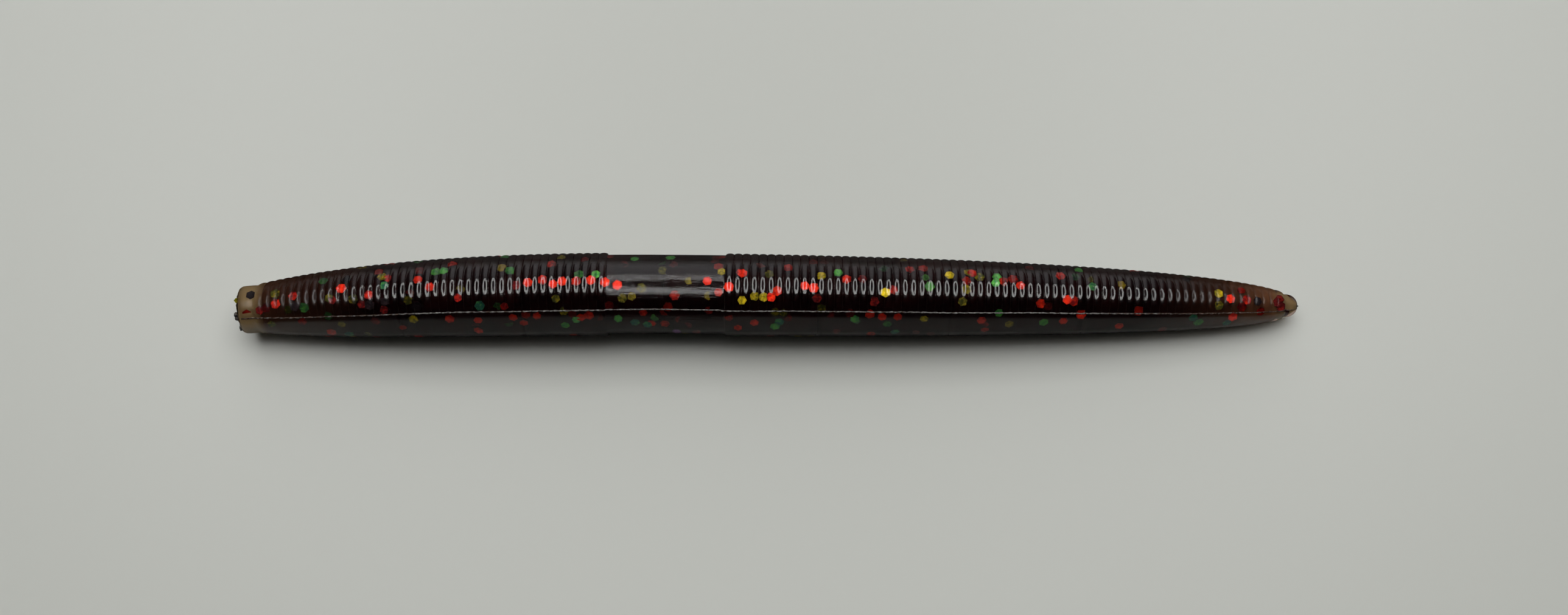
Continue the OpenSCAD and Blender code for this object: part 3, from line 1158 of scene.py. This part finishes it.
@dataclass
class Ends:
    """What is left at both ends: torn scraps and a half-buried flake at the stub, a tag on the nub."""

    tag_from: float = 130.3
    tag_r: float = 0.55
    face_flake_angle: float = 106.0

    def build_tag(self) -> bpy.types.Object:
        """The pointed tag of flash on the tip of the nub."""
        line = [
            (self.tag_from, 0.0), (self.tag_from, self.tag_r), (self.tag_from + 0.2, self.tag_r * 0.75),
            (self.tag_from + 0.38, self.tag_r * 0.45), (self.tag_from + 0.54, self.tag_r * 0.25),
            (self.tag_from + 0.64, 0.0)
        ]
        piece = turned("nub_flash_tag", line, 16)
        s, radius, angle = polar(piece)
        seam = math.radians(SHAPE.seam_angle)
        flat = radius * np.cos(angle - seam)
        thick = radius * np.sin(angle - seam) * 0.55
        radius, angle = np.hypot(flat, thick), seam + np.arctan2(thick, flat)
        lay(piece, s, radius, angle)
        return piece

    def build_scraps(self) -> bpy.types.Object:
        """The torn scraps of plastisol standing out of the stub's face."""
        scraps = []
        spots = [
            (0.16, 2.55, 66, (0.3, 0.3, 0.26)), (0.22, 2.6, 56, (0.26, 0.24, 0.32)),
            (0.3, 1.4, 120, (0.2, 0.5, 0.35)), (0.35, 0.9, 260, (0.2, 0.6, 0.4)),
            (0.3, 2.5, 20, (0.2, 0.4, 0.3))
        ]
        for index, (s, radius, degrees, size) in enumerate(spots):
            deselect()
            bpy.ops.mesh.primitive_ico_sphere_add(subdivisions=3, radius=1)
            piece = bpy.context.object
            co = vertices_of(piece)
            lumps = 1 + 0.28 * wave(co[:, 0] + co[:, 1] * 1.7, 1.5, index)
            lumps = lumps + 0.2 * wave(co[:, 2] * 2 - co[:, 1], 1.1, index)
            co = co * lumps[:, None] * np.array(size)
            turn = math.radians(degrees)
            centre = np.array([s, radius * math.cos(turn), radius * math.sin(turn)])
            local = co + centre
            lay(
                piece, np.maximum(local[:, 0], 0.0), np.hypot(local[:, 1], local[:, 2]),
                np.arctan2(local[:, 2], local[:, 1])
            )
            bpy.ops.object.shade_smooth()
            scraps.append(piece)
        return joined(scraps, "stub_torn_scraps")

    def build_face_flake(self, pattern: bpy.types.Object) -> bpy.types.Object:
        """The gold flake that stands half out of the torn face.

        Args:
            pattern: A flat hexagonal flake in millimetres.

        Returns:
            The flake, laid in its place.
        """
        co = vertices_of(pattern)
        pattern.name = "stub_face_gold_flake"
        turn = math.radians(self.face_flake_angle)
        outward = 2.45 + co[:, 1] * 0.8 + co[:, 2]
        along = 0.47 + co[:, 0] * 0.75 - co[:, 1] * 0.25
        sideways = co[:, 1] * 0.25 + co[:, 0] * 0.2
        radius = np.hypot(outward, sideways)
        angle = turn + np.arctan2(sideways, outward)
        lay(pattern, along, radius, angle)
        for name, value in (("rim", 0.0), ("depth", 0.15), ("variety", 0.3)):
            set_attribute(pattern, name, np.full(len(co), value))
        return pattern


# ---------------------------------------------------------------- the studio


@dataclass
class Studio:
    """The camera, the table and the light: a ring of lamp strips overhead in a quiet room."""

    elevation: float = 79.0
    distance: float = 0.230
    lens: float = 42.98
    sensor: float = 36.0
    aim: tuple[float, float, float] = (0.00156, -0.0016, 0.0046)
    ring_height: float = 1.0
    ring_half_width: float = 0.42
    ring_near: float = -0.04
    ring_far: float = 0.78
    ring_lamps: int = 24
    ring_side_width: float = 0.32
    ring_end_width: float = 0.13
    ring_radiance: float = 6.5
    panel_radiance: float = 3.2
    panel_back: float = 0.52
    panel_size: tuple[float, float] = (1.4, 0.9)
    wall_radiance: float = 0.15
    wall_colour: str = "#e6e8e2"
    backdrop_radiance: float = 0.7
    table_size: float = 6.0
    table_top: float = -0.00002

    def build_camera(self) -> None:
        """Aims the camera at the worm from its near side, almost overhead."""
        data = bpy.data.cameras.new("camera")
        data.lens, data.sensor_width = self.lens, self.sensor
        data.clip_start, data.clip_end = 0.01, 20
        camera = bpy.data.objects.new("camera", data)
        bpy.context.scene.collection.objects.link(camera)
        tilt = math.radians(self.elevation)
        back = Vector((0, -math.cos(tilt), math.sin(tilt)))
        camera.location = Vector(self.aim) + back * self.distance
        camera.rotation_euler = (-back).to_track_quat("-Z", "Y").to_euler()
        bpy.context.scene.camera = camera

    def build_lights(self) -> None:
        """Hangs the ring of strips that the gloss mirrors, and the soft panel that lights the rest."""
        middle = (self.ring_near + self.ring_far) / 2
        half = (self.ring_far - self.ring_near) / 2
        for index in range(self.ring_lamps):
            turn = (index + 0.5) / self.ring_lamps * TURN
            next_turn = turn + 0.5 / self.ring_lamps * TURN
            last_turn = turn - 0.5 / self.ring_lamps * TURN
            ends = [
                Vector((self.ring_half_width * math.cos(a), middle + half * math.sin(a), self.ring_height))
                for a in (last_turn, next_turn)
            ]
            run = ends[1] - ends[0]
            width = self.ring_end_width + (self.ring_side_width - self.ring_end_width) * abs(math.cos(turn))
            lamp = self._lamp(
                f"ring_lamp_{index:02d}", tuple((ends[0] + ends[1]) / 2), (run.length, width),
                self.ring_radiance
            )
            lamp.rotation_euler = (0, 0, math.atan2(run.y, run.x))
            lamp.visible_diffuse = False
        panel = self._lamp(
            "soft_panel", (0, self.panel_back, self.ring_height), self.panel_size, self.panel_radiance
        )
        panel.visible_glossy = False
        panel.visible_transmission = False

    def _lamp(
        self, name: str, place: tuple[float, float, float], size: tuple[float, float], radiance: float
    ) -> bpy.types.Object:
        """A rectangular lamp that shines straight down."""
        data = bpy.data.lights.new(name, "AREA")
        data.shape = "RECTANGLE"
        data.size, data.size_y = size
        data.energy = radiance * math.pi * size[0] * size[1]
        lamp = bpy.data.objects.new(name, data)
        lamp.location = place
        bpy.context.scene.collection.objects.link(lamp)
        return lamp

    def build_room(self) -> None:
        """A dim room with a bright window behind the worm and a pale wall low down on the near side.

        The camera itself sees an even pale backdrop, which lights nothing.
        """
        world = bpy.data.worlds.new("room")
        bpy.context.scene.world = world
        world.use_nodes = True
        tree = world.node_tree
        tree.nodes.clear()
        where = add_node(tree, "TexCoord").outputs["Generated"]
        parts = add_node(tree, "SeparateXYZ", {0: where})
        wall = ramp(
            tree, add_node(tree, "MapRange", {"Value": parts.outputs["Y"], "From Min": -1.0}),
            [(0.0, grey(0.004)), (0.5, grey(0.004)), (0.78, grey(0.03)), (0.88, (0.85, 0.85, 0.86, 1)),
             (1.0, grey(0.9))]
        )
        across = add_node(tree, "Math", {0: parts.outputs["X"]}, operation="ABSOLUTE")
        patch = add_node(
            tree, "MapRange",
            {"Value": across, "From Min": 0.2, "From Max": 0.5, "To Min": 1.0, "To Max": 0.08},
            interpolation_type="SMOOTHSTEP"
        )
        window = add_node(tree, "Background", {"Color": wall, "Strength": patch})
        low = add_node(
            tree, "MapRange",
            {"Value": parts.outputs["Z"], "From Min": 0.18, "From Max": 0.3, "To Min": self.wall_radiance,
             "To Max": 0.0}, interpolation_type="SMOOTHSTEP"
        )
        near = add_node(
            tree, "MapRange",
            {"Value": parts.outputs["Y"], "From Min": 0.2, "From Max": 0.5, "To Min": 1.0, "To Max": 0.0},
            interpolation_type="SMOOTHSTEP"
        )
        glow = add_node(tree, "Math", {0: low, 1: near}, operation="MULTIPLY")
        pale = add_node(tree, "Background", {"Color": linear(self.wall_colour), "Strength": glow})
        lit = add_node(tree, "AddShader", {0: window, 1: pale})
        backdrop = add_node(
            tree, "Background", {"Color": linear(self.wall_colour), "Strength": self.backdrop_radiance}
        )
        rays = add_node(tree, "LightPath")
        seen = add_node(tree, "MixShader", {0: rays.outputs["Is Camera Ray"], 1: lit, 2: backdrop})
        add_node(tree, "OutputWorld", {"Surface": seen})

    def build_table(self) -> None:
        """The pale glossy board that the worm lies on."""
        deselect()
        bpy.ops.mesh.primitive_plane_add(size=self.table_size, location=(0, 0, self.table_top))
        table = bpy.context.object
        table.name = "table"
        material, tree = new_material("board_glossy_enamel")
        shader = add_node(
            tree, "BsdfPrincipled",
            {"Base Color": linear("#e4e6de"), "Roughness": 0.35, "Specular IOR Level": 0.25}
        )
        add_node(tree, "OutputMaterial", {"Surface": shader})
        table.data.materials.append(material)


CASTING = Casting()


def dress(piece: bpy.types.Object, material: bpy.types.Material) -> None:
    """Gives a piece its material."""
    piece.data.materials.clear()
    piece.data.materials.append(material)


def build_worm() -> None:
    """Builds the worm stretch by stretch: skin, core, flash and glitter."""
    skin = ClearSkin().build()
    core = CloudyCore().build()
    flash = TornEdge("plastisol_flash", "#a3a09c", "#3a3130").build()
    torn = TornEdge("plastisol_torn", "#5b4f40", "#14100e", grain_mm=0.5, roughness=0.5).build()
    films = {
        film.colour: film.build()
        for film in (
            GlitterFilm(Glitter.RED, "#d83016", "#6c0c16"),
            GlitterFilm(Glitter.GREEN, "#58bc54", "#146456"),
            GlitterFilm(Glitter.GOLD, "#d2cc24", "#4c5e22"),
            GlitterFilm(Glitter.BLACK, "#0a0a0d", "#141018"),
            GlitterFilm(Glitter.PURPLE, "#6a3a86", "#3c2458"),
        )
    }
    mix = GlitterMix()
    flakes = mix.stirred()
    LOG.info("glitter: %d flakes", len(flakes))
    for index, stretch in enumerate(stretches()):
        slot = "thin_plastisol" if index in (0, 6) else "plastisol"
        lengths = [f"{stretch.body_a}_stiff_length", stretch.flexing_node, f"{stretch.body_b}_stiff_length"]
        made = [
            (CASTING.build_skin(stretch), skin, slot), (CASTING.build_core(stretch), core, slot),
            (CASTING.build_flash(stretch), flash, slot)
        ]
        for piece, material, slot_name in made:
            dress(piece, material)
            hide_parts(*lengths)
            stretch.bend(piece)
            LOG.info("%s: %d vertices", piece.name, len(piece.data.vertices))
        for colour in Glitter:
            piece = mix.build(stretch, colour, flakes)
            if piece is None:
                continue
            dress(piece, films[colour])
            stands_for = [
                f"{body}_{colour.value}_{flakes_word}" for body in (stretch.body_a,
                 stretch.body_b) for flakes_word in ("flakes", "flake")
            ]
            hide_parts(*[node for node in stands_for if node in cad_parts])
            stretch.bend(piece)
            LOG.info("%s: %d vertices", piece.name, len(piece.data.vertices))
    ends = Ends()
    for piece, material, slot, body in (
        (ends.build_tag(), torn, "thin_plastisol", "tail_tip"),
        (ends.build_scraps(), torn, "thin_plastisol", "head"),
        (ends.build_face_flake(mix.hexagon()), films[Glitter.GOLD], "gold_glitter", "head"),
    ):
        dress(piece, material)
        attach(piece, body)


def main() -> None:
    """Builds the studio and the worm."""
    logging.basicConfig(level=logging.INFO, format="%(message)s")
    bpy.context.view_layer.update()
    bpy.context.scene.view_settings.view_transform = "Standard"
    studio = Studio()
    studio.build_camera()
    studio.build_room()
    studio.build_lights()
    studio.build_table()
    build_worm()
    deselect()


if __name__ == "__main__":
    main()
